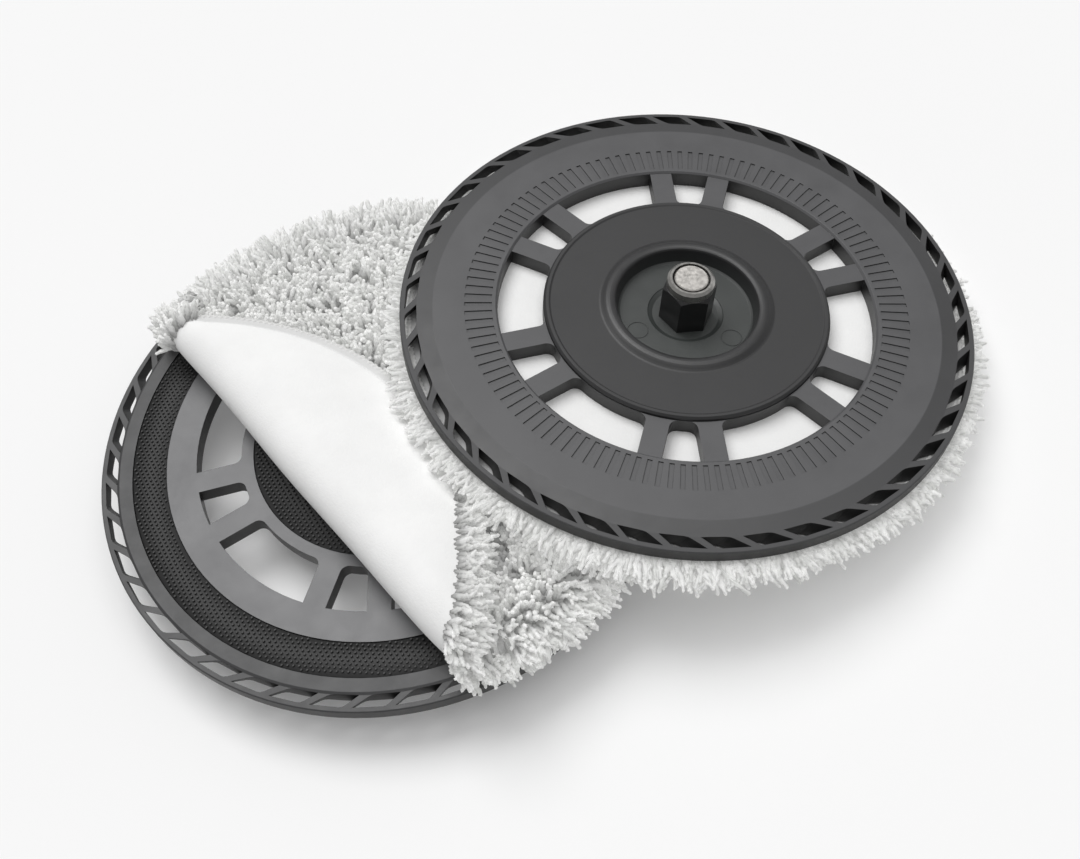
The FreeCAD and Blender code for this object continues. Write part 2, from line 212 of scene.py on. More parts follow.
# ---- mesh helpers --------------------------------------------------------------------------
def new_object(name, verts, quads, tris=None):
    """A smooth-shaded mesh object from arrays of points, four-sided faces and three-sided faces."""
    mesh = bpy.data.meshes.new(name)
    loops = quads.ravel()
    starts = np.arange(len(quads)) * 4
    if tris is not None:
        starts = np.concatenate([starts, len(loops) + np.arange(len(tris)) * 3])
        loops = np.concatenate([loops, tris.ravel()])
    mesh.vertices.add(len(verts))
    mesh.vertices.foreach_set("co", np.asarray(verts, np.float32).ravel())
    mesh.loops.add(len(loops))
    mesh.loops.foreach_set("vertex_index", loops.astype(np.int32))
    mesh.polygons.add(len(starts))
    mesh.polygons.foreach_set("loop_start", starts.astype(np.int32))
    mesh.polygons.foreach_set("use_smooth", np.ones(len(starts), bool))
    mesh.update(calc_edges=True)
    mesh.validate()
    piece = bpy.data.objects.new(name, mesh)
    bpy.context.scene.collection.objects.link(piece)
    return piece


def give_values(piece, name, values):
    """One number for each point of a piece, for its material to read."""
    attribute = piece.data.attributes.new(name, "FLOAT", "POINT")
    attribute.data.foreach_set("value", np.asarray(values, np.float32).ravel())


def grid_faces(rows, cols, closed=False):
    """Faces of a grid of points in rows. closed joins the last column to the first."""
    i, j = np.meshgrid(np.arange(rows - 1), np.arange(cols if closed else cols - 1), indexing="ij")
    k = (j + 1) % cols
    return np.stack([i * cols + j, i * cols + k, (i + 1) * cols + k, (i + 1) * cols + j], -1).reshape(-1, 4)


# ---- materials -----------------------------------------------------------------------------
class Material:
    """A node material built in short steps."""

    def __init__(self, name, **values):
        self.material = bpy.data.materials.new(name)
        self.material.use_nodes = True
        self.tree = self.material.node_tree
        self.shader = self.tree.nodes["Principled BSDF"]
        for key, value in values.items():
            self.shader.inputs[key.replace("_", " ")].default_value = value

    def node(self, kind, **settings):
        """A new node. A setting is an input where the node has one of that name, or else a property."""
        made = self.tree.nodes.new(kind)
        for key, value in settings.items():
            if key in made.inputs:
                made.inputs[key].default_value = value
            else:
                setattr(made, key, value)
        return made

    def link(self, source, target):
        self.tree.links.new(source, target)

    def place(self, driver=None):
        """Coordinates to paint by: the row's frame, or the frame of one driver with +Z on its drive side."""
        row = self.node("ShaderNodeTexCoord").outputs["Object"]
        if driver is None:
            return row
        moved = self.node("ShaderNodeMapping", vector_type="TEXTURE")
        at, turn = DRIVER_FRAMES[driver]
        moved.inputs["Location"].default_value = at
        moved.inputs["Rotation"].default_value = turn
        self.link(row, moved.inputs["Vector"])
        return moved.outputs["Vector"]

    def radius(self, driver):
        """Distance from the driver's spin axis, in millimetres."""
        flat = self.node("ShaderNodeVectorMath", operation="MULTIPLY")
        self.link(self.place(driver), flat.inputs[0])
        flat.inputs[1].default_value = (1 / MM, 1 / MM, 0)
        length = self.node("ShaderNodeVectorMath", operation="LENGTH")
        self.link(flat.outputs["Vector"], length.inputs[0])
        return length.outputs["Value"]

    def wall(self, driver):
        """1 on surfaces that run along the driver's axis, 0 on those that face it."""
        spin_axis = tuple(UPPER_TURN[:, 2]) if driver == "upper" else (0, 0, 1)
        across = self.node("ShaderNodeVectorMath", operation="DOT_PRODUCT")
        self.link(self.node("ShaderNodeNewGeometry").outputs["True Normal"], across.inputs[0])
        across.inputs[1].default_value = spin_axis
        facing = self.math("ABSOLUTE", across.outputs["Value"])
        return self.math("SUBTRACT", 1.0, self.step(facing, 0.25, 0.6))

    def step(self, source, low, high):
        """0 below low, 1 above high."""
        made = self.node("ShaderNodeMapRange", interpolation_type="SMOOTHSTEP")
        self.link(source, made.inputs["Value"])
        made.inputs["From Min"].default_value = low
        made.inputs["From Max"].default_value = high
        return made.outputs["Result"]

    def math(self, operation, a, b=0.0):
        made = self.node("ShaderNodeMath", operation=operation)
        for socket, value in zip(made.inputs, (a, b)):
            if hasattr(value, "links"):
                self.link(value, socket)
            else:
                socket.default_value = value
        return made.outputs["Value"]

    def noise(self, scale, detail=3.0, roughness=0.5):
        made = self.node("ShaderNodeTexNoise", Scale=scale, Detail=detail, Roughness=roughness)
        self.link(self.place(), made.inputs["Vector"])
        return made.outputs["Fac"]

    def ramp(self, source, stops):
        made = self.node("ShaderNodeValToRGB")
        elements = made.color_ramp.elements
        while len(elements) < len(stops):
            elements.new(0.5)
        for element, (at, shade) in zip(elements, stops):
            element.position = at
            element.color = (*shade, 1.0) if isinstance(shade, tuple) else (shade, shade, shade, 1.0)
        self.link(source, made.inputs["Fac"])
        return made.outputs["Color"]

    def mix(self, a, b, factor=0.5, blend="MIX"):
        made = self.node("ShaderNodeMix", data_type="RGBA", blend_type=blend)
        for socket, value in ((made.inputs[0], factor), (made.inputs[6], a), (made.inputs[7], b)):
            if hasattr(value, "links"):
                self.link(value, socket)
            else:
                socket.default_value = value
        return made.outputs[2]

    def bump(self, height, strength, distance, normal=None):
        made = self.node("ShaderNodeBump", Strength=strength, Distance=distance)
        self.link(height, made.inputs["Height"])
        if normal is not None:
            self.link(normal, made.inputs["Normal"])
        self.link(made.outputs["Normal"], self.shader.inputs["Normal"])
        return made.outputs["Normal"]


def moulded(made, tone, rough, grain):
    """Common finish of moulded parts: softened edges, fine grain, faint flow marks and rubbed patches."""
    flow = made.ramp(made.noise(35.0, 5.0, 0.6), [(0.3, 0.86), (0.7, 1.0)])
    made.link(made.mix(tone, flow, 1.0, "MULTIPLY"), made.shader.inputs["Base Color"])
    made.shader.inputs["Specular IOR Level"].default_value = 0.7
    rubbed = made.ramp(made.noise(70.0, 6.0, 0.7), [(0.35, 0.0), (0.75, 0.12)])
    made.link(made.math("ADD", rough, rubbed), made.shader.inputs["Roughness"])
    edge = made.node("ShaderNodeBevel", samples=4, Radius=0.25 * MM)
    made.bump(made.noise(grain, 2.0), 0.22, 0.0001, edge.outputs["Normal"])
    return made.material


# painted light: both plates are one moulding, and each driver's tones stand in for the sheen it catches
PLATE_PAINTED_LIGHT_TONES = {"upper": (0.086, 0.047), "lower": (0.108, 0.036)}     # inside the crease, outside it
PLATE_COOL = 1.04         # blue over red and green
# painted shade: the walls of the plates' openings are painted near black, where shade falls
WALL_PAINTED_SHADE = (0.010, 0.010, 0.010, 1)
CREASE_AT = (101.4, 102.2)         # radii in millimetres between which one tone gives way to the next
BOWL_EDGE_AT = (26.0, 29.0)
FLANGE_AT = (33.5, 36.0)


def plate_plastic(driver):
    """Satin plate, with a duller and darker band outside the crease, painted shade making the walls of its
    openings near black, and tones for each driver that carry painted light.
    """
    made = Material("plate_plastic_" + driver)
    band = made.step(made.radius(driver), *CREASE_AT)
    # this driver's tones, which carry painted light
    inside, outside = ((t, t, t * PLATE_COOL, 1) for t in PLATE_PAINTED_LIGHT_TONES[driver])
    face = made.mix(inside, outside, band)
    # painted shade on the walls of the openings
    tone = made.mix(face, WALL_PAINTED_SHADE, made.wall(driver))
    rough = made.math("ADD", made.math("MULTIPLY", band, 0.08), 0.40)
    return moulded(made, tone, rough, 5200.0)


def hub_plastic(driver):
    """Matt flange, with a smoother lip and a slightly lighter bowl."""
    made = Material("hub_plastic_" + driver)
    radius = made.radius(driver)
    outside_bowl = made.step(radius, *BOWL_EDGE_AT)
    flange = made.step(radius, *FLANGE_AT)
    tone = made.mix((0.040, 0.045, 0.043, 1), (0.022, 0.022, 0.023, 1), outside_bowl)
    rough = made.math("ADD", made.math("MULTIPLY", flange, 0.12), 0.40)
    return moulded(made, tone, rough, 6500.0)


def stud_plastic():
    """Black coated bar with a low sheen."""
    made = Material("stud_black")
    return moulded(made, (0.004, 0.004, 0.0045, 1), 0.28, 3000.0)


def steel(name, shade, rough):
    """Turned or plated metal with fine rings of tool marks."""
    made = Material(name, Metallic=1.0, Roughness=rough)
    tone = made.ramp(made.noise(400.0, 4.0), [(0.3, tuple(c * 0.86 for c in shade)), (0.7, shade)])
    made.link(tone, made.shader.inputs["Base Color"])
    worn = made.ramp(made.noise(700.0, 3.0), [(0.3, rough * 0.8), (0.7, rough * 1.3)])
    made.link(worn, made.shader.inputs["Roughness"])
    made.bump(made.noise(1800.0, 2.0), 0.12, 0.00005)
    return made.material


def hook_material():
    """Black nylon: a dark base, lighter towards the hook heads, and scuffed in random patches."""
    made = Material("hook_tape", Roughness=0.55)
    height = made.node("ShaderNodeAttribute", attribute_name="height").outputs["Fac"]
    tone = made.ramp(height, [(0.3, 0.006), (0.9, 0.055)])
    scuff = made.ramp(made.noise(600.0, 3.0), [(0.3, 0.7), (0.7, 1.0)])
    made.link(made.mix(tone, scuff, 1.0, "MULTIPLY"), made.shader.inputs["Base Color"])
    made.bump(made.noise(2500.0, 2.0), 0.4, 0.0001)
    return made.material


def brushed_cloth(name, shade, hem=None):
    """White loop fabric: a short raised nap, a faint knit and soft mottling. A darker border is given as its shade
    and the distances from the edge, in millimetres, over which it fades out: on the flap a greyer hem, on the
    upper pad painted shade under its driver's rim slots."""
    made = Material(name, Roughness=0.95, Sheen_Weight=0.25, Sheen_Roughness=0.6)
    tone = made.ramp(made.noise(60.0, 5.0, 0.6), [(0.3, tuple(c * 0.95 for c in shade)), (0.7, shade)])
    if hem is not None:
        border, start, end = hem
        edge = made.node("ShaderNodeAttribute", attribute_name="edge").outputs["Fac"]
        # the darker border: a greyer hem on the flap, painted shade under the rim slots on the upper pad
        pressed = made.ramp(made.step(edge, start, end), [(0.0, border), (1.0, 1.0)])
        tone = made.mix(tone, pressed, 1.0, "MULTIPLY")
    made.link(tone, made.shader.inputs["Base Color"])
    knit = made.node("ShaderNodeTexVoronoi", Scale=900.0)
    made.link(made.place(), knit.inputs["Vector"])
    first = made.bump(knit.outputs["Distance"], 0.15, 0.0003)
    made.bump(made.noise(1500.0, 5.0, 0.7), 0.35, 0.0004, first)
    return made.material


# painted shade: each strand darkens towards its root, where shade falls deep in the pile
FIBRE_PAINTED_ROOT_SHADES = [(0.0, (0.42, 0.42, 0.415)), (0.5, (0.82, 0.82, 0.815)), (1.0, (0.95, 0.95, 0.945))]
# painted glow: the tufts give off a little light, though they are no lamp, to lift their shading
FIBRE_PAINTED_GLOW = 0.33
FIBRE_THROUGH = 0.45      # share of the light that goes through


def pile_material():
    """Twisted microfibre: painted shade towards each strand's root, each tuft its own shade, fine fibres along the
    strand, and painted shade on the tufts in the crease beside the flap. Some light goes through the fibres, and a
    faint painted glow, given off though the pile is no lamp, lifts the tufts' shading."""
    made = Material("pile_fabric", Roughness=0.9, Sheen_Weight=0.3, Sheen_Roughness=0.5)
    along = made.node("ShaderNodeAttribute", attribute_name="along").outputs["Fac"]
    tint = made.node("ShaderNodeAttribute", attribute_name="tint").outputs["Fac"]
    # painted shade towards each strand's root
    root = made.ramp(along, FIBRE_PAINTED_ROOT_SHADES)
    own = made.ramp(tint, [(0.0, (0.84, 0.845, 0.835)), (1.0, (1.0, 1.0, 1.0))])
    # painted shade on the tufts in the crease beside the flap
    crease = made.node("ShaderNodeAttribute", attribute_name="shade").outputs["Color"]
    tone = made.mix(made.mix(root, own, 1.0, "MULTIPLY"), crease, 1.0, "MULTIPLY")
    made.link(tone, made.shader.inputs["Base Color"])
    # painted glow: the tufts' tone is given off as light
    made.link(tone, made.shader.inputs["Emission Color"])
    made.shader.inputs["Emission Strength"].default_value = FIBRE_PAINTED_GLOW
    normal = made.bump(made.noise(2600.0, 3.0, 0.7), 0.5, 0.0004)
    through = made.node("ShaderNodeBsdfTranslucent")
    made.link(tone, through.inputs["Color"])
    made.link(normal, through.inputs["Normal"])
    both = made.node("ShaderNodeMixShader", Fac=FIBRE_THROUGH)
    made.link(made.shader.outputs["BSDF"], both.inputs[1])
    made.link(through.outputs["BSDF"], both.inputs[2])
    made.link(both.outputs["Shader"], made.tree.nodes["Material Output"].inputs["Surface"])
    return made.material


DRIVER_FRAMES = {
    "lower": ((0, 0, STUD_TOP), (math.pi, 0, 0)),
    "upper": (tuple(UPPER_AT), tuple(Matrix(UPPER_TURN.tolist()).to_euler())),
}
MATERIALS = {
    "hex_stud": stud_plastic(),
    "stud_collar": steel("collar_steel", (0.50, 0.49, 0.47), 0.32),
    "magnet": steel("magnet_nickel", (0.86, 0.83, 0.79), 0.34),
    "stud_bolt": steel("bolt_steel", (0.55, 0.55, 0.56), 0.3),
    "hub_screws": steel("screw_steel", (0.55, 0.55, 0.56), 0.3),
}
HOOKS = hook_material()
CLOTH_SHADE = (0.93, 0.93, 0.925)
CLOTH = brushed_cloth("backing_fabric", CLOTH_SHADE)
FLAP_HEM = (0.76, 2.2, 3.8)         # shade, then start and end of its fade in millimetres
# painted shade: the upper pad's cloth is darker under its driver's rim slots
UPPER_RIM_PAINTED_SHADE = (0.62, 10.5, 12.0)
HEMMED = brushed_cloth("backing_hemmed", CLOTH_SHADE, FLAP_HEM)
PAINTED_RIM_SHADE_CLOTH = brushed_cloth("backing_painted_rim_shade", CLOTH_SHADE, UPPER_RIM_PAINTED_SHADE)
EDGING = brushed_cloth("binding_fabric", (0.74, 0.74, 0.73))
PILE = pile_material()


def finish_cad_nodes():
    """Give the hard pieces their materials and even out the shading of their large faces."""
    for driver in ("lower", "upper"):
        own = {**MATERIALS, "driver_plate": plate_plastic(driver), "hub": hub_plastic(driver)}
        for piece, material in own.items():
            node = frame["nodes"][driver + "_" + piece]
            node.data.materials.clear()
            node.data.materials.append(material)
        plate = frame["nodes"][driver + "_driver_plate"]
        split = plate.modifiers.new("crisp_creases", "EDGE_SPLIT")
        split.split_angle = math.radians(8)
        for node in (plate, frame["nodes"][driver + "_hub"]):
            even = node.modifiers.new("even_faces", "WEIGHTED_NORMAL")
            even.weight = 90


# ---- hook tape -----------------------------------------------------------------------------
HOOK_ROW_GAP = 1.75 * MM
HOOK_STEP = 1.9 * MM
HOOK_ROW_TURN = math.radians(41.0)
HOOK_TALL = 0.7 * MM
HOOK_STEM_R = 0.32 * MM
HOOK_SHAPE = ((1.0, 1.0, -0.1), (0.8, 0.8, 0.5), (2.0, 1.35, 0.66), (1.9, 1.2, 0.88), (0.9, 0.6, 1.0))
HOOK_SIDES = 6
TAPE_EDGE = 0.2 * MM


def hook_field(r_in, r_out):
    """Hook places in slanting rows across a ring, in its own plane, and the direction of the rows."""
    n = int(r_out / HOOK_ROW_GAP) + 2
    i, j = np.meshgrid(np.arange(-n, n + 1), np.arange(-n, n + 1), indexing="ij")
    row = np.array([math.cos(HOOK_ROW_TURN), math.sin(HOOK_ROW_TURN)])
    across = np.array([-row[1], row[0]])
    places = (i + 0.3 * j)[..., None] * HOOK_STEP * row + j[..., None] * HOOK_ROW_GAP * across
    r = np.linalg.norm(places, axis=-1)
    keep = (r > r_in + HOOK_STEM_R * 2) & (r < r_out - HOOK_STEM_R * 2)
    return places[keep], row, across


def one_hook(row, across):
    """Rings of points up one hook, from HOOK_SHAPE: size along its row, size across it, and height."""
    around = np.linspace(0, 2 * np.pi, HOOK_SIDES, endpoint=False)
    rings = []
    for along, wide, up in HOOK_SHAPE:
        lean = 0.5 * max(up, 0)
        spread = (np.cos(around) * along + lean)[:, None] * row + (np.sin(around) * wide)[:, None] * across
        rings.append(np.concatenate([spread * HOOK_STEM_R, np.full((HOOK_SIDES, 1), up * HOOK_TALL)], -1))
    return np.concatenate(rings)


def tape_base(radii):
    """The plain ring of tape that the hooks stand on, as points and faces, its face at z = 0."""
    r_in, r_out = radii
    angles = np.linspace(0, 2 * np.pi, 192, endpoint=False)
    rim = [(r_in, -HOOK_TAPE_T), (r_in, -TAPE_EDGE), (r_in + TAPE_EDGE, 0)]
    rim += [(r_out - TAPE_EDGE, 0), (r_out, -TAPE_EDGE), (r_out, -HOOK_TAPE_T)]
    points = np.array([[(r * math.cos(a), r * math.sin(a), z) for a in angles] for r, z in rim])
    return points.reshape(-1, 3), grid_faces(len(rim), len(angles), True)


def hook_tape(name, node, body, radii, to_row):
    """A tape base with one small blunt-headed hook at each place. to_row maps the tape's frame, +Z out of
    its face."""
    base, base_faces = tape_base(radii)
    places, row, across = hook_field(*radii)
    stem = one_hook(row, across)
    per = len(stem)
    hooks = np.tile(stem, (len(places), 1, 1))
    hooks[..., :2] += places[:, None]
    first = (np.arange(len(places)) * per)[:, None, None] + len(base)
    faces = (grid_faces(len(HOOK_SHAPE), HOOK_SIDES, True)[None] + first).reshape(-1, 4)
    top = np.arange(per - HOOK_SIDES, per)
    fan = np.array([[top[0], top[k], top[k + 1]] for k in range(1, HOOK_SIDES - 1)])
    caps = (fan[None] + first).reshape(-1, 3)
    verts = np.concatenate([base, hooks.reshape(-1, 3)])
    piece = new_object(name, to_row(verts), np.concatenate([base_faces, faces]), caps)
    height = np.concatenate([np.zeros(len(base)), np.tile(stem[:, 2] / HOOK_TALL, len(places))])
    give_values(piece, "height", height)
    piece.data.materials.append(HOOKS)
    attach(piece, body)
    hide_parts(node)


def hook_tapes():
    def lower(v):
        return v + np.array([0, 0, HOOK_TAPE_Z])

    def upper(v):
        depth = PLATE_T - (HOOK_Z - HOOK_TAPE_Z)
        return from_upper(v * np.array([1, -1, -1]) - np.array([0, 0, depth]))

    for side, to_row in (("lower", lower), ("upper", upper)):
        body = side + "_driver"
        hook_tape(side + "_hook_band", side + "_outer_hook_band", body, HOOK_BAND_R, to_row)
        hook_tape(side + "_hook_disc", side + "_inner_hook_disc", body, HOOK_DISC_R, to_row)


# ---- pile ----------------------------------------------------------------------------------
STRAND_W = 2.05 * MM
STRAND_LONG = 9.2 * MM
STRAND_RINGS = 6
STRAND_SIDES = 5
STRAND_SHAPE = np.array([0.70, 0.98, 1.06, 1.04, 0.98, 0.72])
UP_STRAND = np.linspace(0, 0.97, STRAND_RINGS)      # places of the rings, as shares of the length
PITCH = 2.0 * MM
HIDDEN_PITCH = 3.2 * MM
ROOT_DEPTH = 0.2 * MM     # how far a strand's root sits inside the cloth
FAR_WRAP = 12 * MM
NEAR_WRAP = 6 * MM
# painted shade on the tufts in the crease beside the flap, and the width of its band
CREASE_PAINTED_SHADE = 0.5        # how much darker the tufts are that stand against the flap
CREASE_PAINTED_SHADE_WIDTH = 4 * MM


def yarn_paths(roots, aims, lengths, rng):
    """Middle lines of bent and slightly curled yarns, a direction square to each bend, and each phase."""
    n = len(roots)
    across = unit(np.cross(aims, rng.normal(size=(n, 3))))
    over = np.cross(aims, across)
    bend = rng.normal(0, 0.20, n)
    curl = rng.uniform(0.03, 0.09, n)
    phase = rng.uniform(0, 2 * np.pi, n)
    turns = phase[:, None] + UP_STRAND * rng.uniform(3.0, 6.0, n)[:, None]
    aside = bend[:, None] * UP_STRAND ** 2 + np.cos(turns) * curl[:, None] * UP_STRAND
    sway = across[:, None] * aside[..., None]
    sway = sway + over[:, None] * (np.sin(turns) * curl[:, None] * UP_STRAND)[..., None]
    centre = roots[:, None] + (aims[:, None] * UP_STRAND[None, :, None] + sway) * lengths[:, None, None]
    return centre, over, phase


def yarn_tubes(centre, over, phase, rng):
    """Points of a lumpy, twisted, slightly oval tube round each middle line, with one point at its tip."""
    n = len(centre)
    tangent = unit(np.gradient(centre, axis=1))
    side = unit(np.cross(tangent, over[:, None]))
    up = np.cross(side, tangent)
    theta = np.linspace(0, 2 * np.pi, STRAND_SIDES, endpoint=False)
    spin = theta + (UP_STRAND * 5.0)[None, :, None] + phase[:, None, None]
    widths = rng.uniform(0.85, 1.15, n) * STRAND_W
    oval = 1 + 0.2 * np.cos(2 * theta)
    lumpy = 1 + 0.10 * rng.normal(size=(n, STRAND_RINGS))
    half = (widths[:, None] / 2 * STRAND_SHAPE * lumpy)[..., None] * oval
    tube = centre[:, :, None] + side[:, :, None] * (np.cos(spin) * half)[..., None]
    tube = tube + up[:, :, None] * (np.sin(spin) * half)[..., None]
    tip = centre[:, -1] + tangent[:, -1] * widths[:, None] * 0.33
    return np.concatenate([tube.reshape(n, -1, 3), tip[:, None]], axis=1)


def strands(name, roots, aims, lengths, rng, keep_clear=None, shade=None):
    """Short fat twisted yarns, each a tapered tube with a rounded end, grown from roots along aims.
    shade, 1 where there is none and less for tufts deep in a crease, is painted shade."""
    n = len(roots)
    centre, over, phase = yarn_paths(roots, aims, lengths, rng)
    if keep_clear is not None:
        centre = keep_clear(centre)
    verts = yarn_tubes(centre, over, phase, rng)
    per = verts.shape[1]
    first = (np.arange(n) * per)[:, None, None]
    quads = (grid_faces(STRAND_RINGS, STRAND_SIDES, True)[None] + first).reshape(-1, 4)
    last = np.arange(STRAND_SIDES) + (STRAND_RINGS - 1) * STRAND_SIDES
    fan = np.stack([last, np.roll(last, -1), np.full(STRAND_SIDES, per - 1)], -1)
    piece = new_object(name, verts.reshape(-1, 3), quads, (fan[None] + first).reshape(-1, 3))
    give_values(piece, "along", np.tile(np.append(np.repeat(UP_STRAND, STRAND_SIDES), 1.0), n))
    give_values(piece, "tint", np.repeat(rng.random(n) ** 0.6, per))
    give_values(piece, "shade", np.repeat(np.ones(n) if shade is None else shade, per))
    piece.data.materials.append(PILE)
    return piece


def scatter(radius, pitch, rng):
    """Jittered hexagonal field of points on a disc."""
    n = int(radius / pitch * 1.2) + 2
    i, j = np.meshgrid(np.arange(-n, n + 1), np.arange(-n, n + 1), indexing="ij")
    flat = np.stack([(i + 0.5 * (j % 2)) * pitch, j * pitch * 0.866], -1).reshape(-1, 2)
    flat = flat + rng.normal(0, pitch * 0.22, flat.shape)
    return flat[np.hypot(flat[:, 0], flat[:, 1]) < radius]


def waves(flat, rng, scale, count=5):
    """A smooth wandering value over a plane, about -1 to 1, for tufts that lean together in patches."""
    total = np.zeros(len(flat))
    for _ in range(count):
        a = rng.uniform(0, 2 * np.pi)
        k = rng.uniform(0.6, 1.6) * 2 * np.pi / scale
        total += np.sin(flat @ np.array([math.cos(a), math.sin(a)]) * k + rng.uniform(0, 2 * np.pi))
    return total / count * 1.6


def shag(flat, rng, splay, soft):
    """Leaning of pile on a flat pad, as x, y and height: upright and patchy inside, splayed out over the
    edge."""
    r = np.hypot(flat[:, 0], flat[:, 1])
    out = flat / np.maximum(r, 1e-9)[:, None]
    patch = np.stack([waves(flat, rng, 16 * MM), waves(flat, rng, 16 * MM)], -1)
    lean = patch * 0.5 + rng.normal(0, 0.35, flat.shape)
    edge = np.clip((r - BIND_R + soft) / soft, 0, 1)
    lean = lean * (1 - 0.5 * edge)[:, None] + out * (edge ** 1.3 * splay)[:, None]
    return unit(np.concatenate([lean, (1 - 0.35 * edge)[:, None]], -1)), edge


def fringe(rng):
    """A second row of tufts close to a pad's rim, lying out over it and hanging a little."""
    flat = scatter(BIND_R + 1.5 * MM, PITCH * 0.85, rng)
    flat = flat[np.hypot(flat[:, 0], flat[:, 1]) > BIND_R - 5 * MM]
    lie = unit(flat) * 1.6 + rng.normal(0, 0.3, flat.shape)
    return flat, unit(np.concatenate([lie, rng.normal(-0.15, 0.3, (len(flat), 1))], -1))


def squeezed(points, floor, roof):
    """Press strands between two heights, keeping each one's own order within the gap."""
    gap = np.maximum(roof - floor, 0.4 * MM)
    return np.clip(points, floor, floor + gap)


def on_pad(flat, lean, lift):
    """Roots and directions in the row's frame for pile at flat pad places."""
    ahead, along, pile_side = pad_axes(flat[:, 0], flat[:, 1], lift)
    roots = pad_point(flat[:, 0], flat[:, 1], lift)
    return roots, unit(ahead * lean[:, :1] + along * lean[:, 1:2] + pile_side * lean[:, 2:])


def covered(points, margin):
    """True where the flap or the upper driver covers a point of the lower pad by more than a margin."""
    by_flap = (flap_reach(points) < BIND_R - margin) & (fold_out(points) < FOLD_AT)
    return by_flap | (np.linalg.norm(to_upper(points)[..., :2], axis=-1) < BIND_R - margin)


def beyond_flap(points):
    """Distance from the flap's own tufts, which splay wide on the near side and hardly along the hem."""
    splayed = np.clip(fold_along(points) / (30 * MM), 0, 1)
    return flap_reach(points) - BIND_R - (1 + 7 * splayed) * MM


def lower_pile():
    """Pile of the part of the lower pad that is still hooked on, sparser where it can't be seen."""
    rng = np.random.default_rng(SEED)
    fine, coarse = scatter(BIND_R, PITCH, rng), scatter(BIND_R, HIDDEN_PITCH, rng)
    margin = 12 * MM
    fine = fine[~covered(pad_point(fine[:, 0], fine[:, 1], 0.0), margin)]
    coarse = coarse[covered(pad_point(coarse[:, 0], coarse[:, 1], 0.0), margin)]
    flat = np.concatenate([fine, coarse])
    flat = flat[flat[:, 0] < FOLD_AT]
    lean, edge = shag(flat, rng, splay=2.6, soft=11 * MM)
    lengths = rng.uniform(0.8, 1.15, len(flat)) * STRAND_LONG * (1 + 0.2 * edge)
    beyond = beyond_flap(pad_point(flat[:, 0], flat[:, 1], 0.0))
    beside = (np.abs(beyond) < 4 * MM) & (flat[:, 1] < 80 * MM)
    lengths = np.where(beside, lengths * 0.6, lengths)
    rim, rim_lean = fringe(rng)
    keep = rim[:, 0] < FOLD_AT
    flat = np.concatenate([flat, rim[keep]])
    lean = np.concatenate([lean, rim_lean[keep]])
    lengths = np.concatenate([lengths, rng.uniform(0.85, 1.15, keep.sum()) * STRAND_LONG * 1.1])
    roots, aims = on_pad(flat, lean, -BACKING_T / 2 + ROOT_DEPTH)

    def keep_clear(points):
        roof = lower_ceiling(points) - STRAND_W / 2
        points[..., 2] = squeezed(points[..., 2], PAD_TOP - 6 * MM, roof)
        inside = np.hypot(points[..., 0], points[..., 1]) < BIND_R
        points[..., 2] = np.where(inside, np.maximum(points[..., 2], PAD_TOP - 0.3 * MM), points[..., 2])
        past = np.maximum(fold_out(points) - FOLD_AT, 0)
        return points - past[..., None] * FOLD_OUT

    # painted shade on the tufts that stand against the flap, fading out towards the rim
    crease = 1 - np.clip((fold_along(roots) - 75 * MM) / (20 * MM), 0, 1)
    shade = 1 - CREASE_PAINTED_SHADE * crease * np.exp(-(beyond_flap(roots) / CREASE_PAINTED_SHADE_WIDTH) ** 2)
    piece = strands("lower_pile", roots, aims, lengths, rng, keep_clear, shade)
    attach(piece, "lower_pad")
    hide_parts("lower_pad_pile")


def ramp_up(value, low, high):
    """0 below low, 1 above high, straight between, in degrees."""
    return np.clip((np.degrees(value) - low) / (high - low), 0, 1)


def edge_wrap(angle):
    """Radius outside which tufts also cover the hook side of the peeled part: wide at the fold's far end,
    none along the hemmed edge, narrow at the near side. angle is taken on the pad from the fold's
    direction."""
    return BIND_R - ramp_up(-angle, 52, 64) * FAR_WRAP - ramp_up(angle, 14, 36) * NEAR_WRAP


def flap_shag(rng):
    """Roots, directions, lengths and pad x of the tufts on the pile side of the peeled part."""
    fine, coarse = scatter(BIND_R, PITCH, rng), scatter(BIND_R, HIDDEN_PITCH, rng)
    rim = BIND_R - 17 * MM
    flat = np.concatenate([fine[np.hypot(*fine.T) > rim], coarse[np.hypot(*coarse.T) <= rim]])
    flat = flat[flat[:, 0] > FOLD_AT]
    lean, edge = shag(flat, rng, splay=3.0, soft=11 * MM)
    angle = np.arctan2(flat[:, 1], flat[:, 0])
    hemmed = (1 - ramp_up(-angle, 46, 60)) * (1 - ramp_up(angle, 8, 24))
    lean[:, :2] *= (1 - 0.85 * hemmed * edge)[:, None]
    lift = cloth_lift(flat[:, 0], flat[:, 1]) - BACKING_T / 2 + ROOT_DEPTH
    roots, aims = on_pad(flat, unit(lean), lift)
    lengths = rng.uniform(0.85, 1.12, len(flat)) * STRAND_LONG * (1 + 0.2 * edge * (1 - hemmed))
    in_roll = (flat[:, 0] < ROLL_END) & (edge < 0.3)
    return roots, aims, np.where(in_roll, lengths * 0.72, lengths), flat[:, 0]


